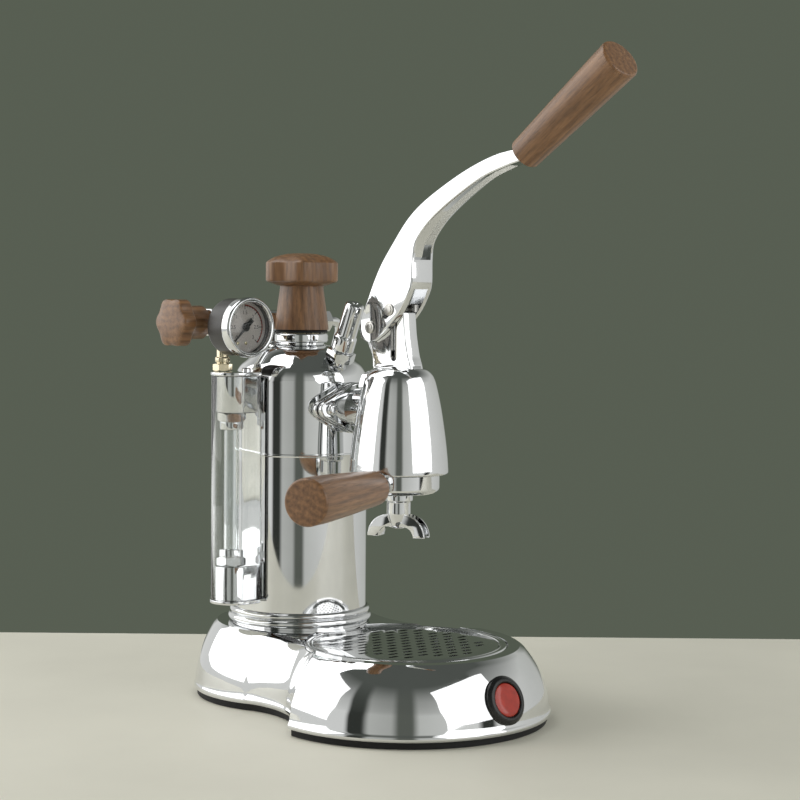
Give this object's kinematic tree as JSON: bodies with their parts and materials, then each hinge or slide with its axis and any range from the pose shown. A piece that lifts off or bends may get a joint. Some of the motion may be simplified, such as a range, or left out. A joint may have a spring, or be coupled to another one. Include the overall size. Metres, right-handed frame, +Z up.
{
  "type": "lever_espresso_machine",
  "caption": "Manual lever espresso machine: chrome boiler on a lobed base, lever group, portafilter, sight glass, gauge, steam wand and walnut handles",
  "frame": {"origin": "bottom centre of the bounding box, on the surface the machine stands on", "axes": "+Z up, -Y to the front (badge and lever handle), +X to the right seen from the front"},
  "size_m": [0.2382, 0.3923, 0.4483],
  "materials": {
    "chrome": "polished chrome plate",
    "walnut": "turned walnut, satin oil",
    "black_rubber": "matt black rubber",
    "black_plastic": "moulded black",
    "stainless": "brushed stainless steel",
    "brass": "machined brass",
    "gauge_case": "dark grey enamel",
    "gauge_dial": "silver dial plate",
    "clear_glass": "clear glass",
    "clear_plastic": "clear acrylic",
    "red_enamel": "glossy red enamel"
  },
  "bodies": {
    "machine": {"badge_disc": "red_enamel", "badge_ring": "black_plastic", "base_shell": "chrome", "boiler_flange": "chrome", "boiler_shell": "chrome", "bottom_plate": "stainless", "cord_gland": "black_plastic", "cylinder_sleeve": "brass", "flange_bolt_left": "stainless", "flange_bolt_right": "stainless", "flange_gasket": "black_rubber", "foot_band": "black_rubber", "fulcrum_pin": "stainless", "gauge_bezel": "chrome", "gauge_case": "gauge_case", "gauge_dial": "gauge_dial", "gauge_elbow": "brass", "gauge_lens": "clear_glass", "glass_shield": "clear_plastic", "group_bell": "chrome", "group_flange": "chrome", "group_seal": "black_rubber", "heating_element": "stainless", "neck_collar": "chrome", "pressure_switch": "stainless", "safety_valve_cap": "chrome", "safety_valve_nut": "chrome", "shower_screen": "stainless", "sight_glass": "clear_glass", "sight_lower_fitting": "chrome", "sight_lower_nut": "chrome", "sight_upper_fitting": "chrome", "sight_upper_nut": "chrome", "steam_gland_nut": "chrome", "steam_valve_body": "chrome", "switch_housing": "black_plastic", "thermostat": "stainless", "wand_nut": "chrome"},
    "lever": {"lever_arm": "chrome", "lever_handle": "walnut"},
    "piston": {"piston_head": "brass", "piston_seal_upper": "black_rubber", "piston_seal_lower": "black_rubber", "piston_rod": "stainless", "piston_pin": "stainless"},
    "portafilter": {"portafilter_head": "chrome", "filter_basket": "stainless", "handle_ferrule": "chrome", "portafilter_grip": "walnut", "double_spout": "chrome"},
    "cap_seal": {"cap_gasket": "black_rubber"},
    "cap": {"cap_knob": "walnut", "cap_insert": "brass"},
    "steam_control": {"steam_knob": "walnut", "steam_spindle": "stainless"},
    "wand": {"steam_wand": "chrome"},
    "needle": {"gauge_needle": "black_plastic"},
    "rocker": {"switch_rocker": "black_plastic"},
    "tray": {"drip_tray": "chrome"},
    "grid": {"drip_grid": "chrome"}
  },
  "joints": [
    {"name": "lever_pivot", "type": "hinge", "parent": "machine", "child": "lever", "pos_m": [0.01564, 0.02633, 0.2684], "axis": [1, 0, 0], "range_deg": [0, 65]},
    {"name": "piston_slide", "type": "slide", "parent": "machine", "child": "piston", "axis": [0, 0, -1], "range_m": [0, 0.0265]},
    {"name": "portafilter_twist", "type": "hinge", "parent": "machine", "child": "portafilter", "pos_m": [0.01564, 0.00553, 0.165], "axis": [0, 0, 1], "range_deg": [0, 68]},
    {"name": "cap_lift", "type": "slide", "parent": "machine", "child": "cap_seal", "axis": [0, 0, 1], "range_m": [0, 0.03]},
    {"name": "cap_turn", "type": "hinge", "parent": "cap_seal", "child": "cap", "pos_m": [0.01564, 0.11003, 0.28], "axis": [0, 0, 1], "range_deg": [0, 360]},
    {"name": "steam_knob_turn", "type": "hinge", "parent": "machine", "child": "steam_control", "pos_m": [-0.06436, 0.14003, 0.27], "axis": [-1, 0, 0], "range_deg": [0, 360]},
    {"name": "wand_swing", "type": "hinge", "parent": "machine", "child": "wand", "pos_m": [0.07564, 0.14003, 0.27], "axis": [1, 0, 0], "range_deg": [-60, 60]},
    {"name": "gauge_needle_turn", "type": "hinge", "parent": "machine", "child": "needle", "pos_m": [-0.04936, 0.11003, 0.2675], "axis": [0, 1, 0], "range_deg": [0, 270], "stiffness_Nm_per_rad": 0.0005},
    {"name": "switch_rock", "type": "hinge", "parent": "machine", "child": "rocker", "pos_m": [0.11584, -0.00307, 0.025], "axis": [0, 0, 1], "range_deg": [0, 16]},
    {"name": "tray_lift", "type": "slide", "parent": "machine", "child": "tray", "axis": [0, 0, 1], "range_m": [0, 0.03]},
    {"name": "grid_lift", "type": "slide", "parent": "tray", "child": "grid", "axis": [0, 0, 1], "range_m": [0, 0.03]}
  ],
  "couplings": [
    {"joint": "piston_slide", "follows": "lever_pivot", "m_per_rad": 0.02335}
  ]
}
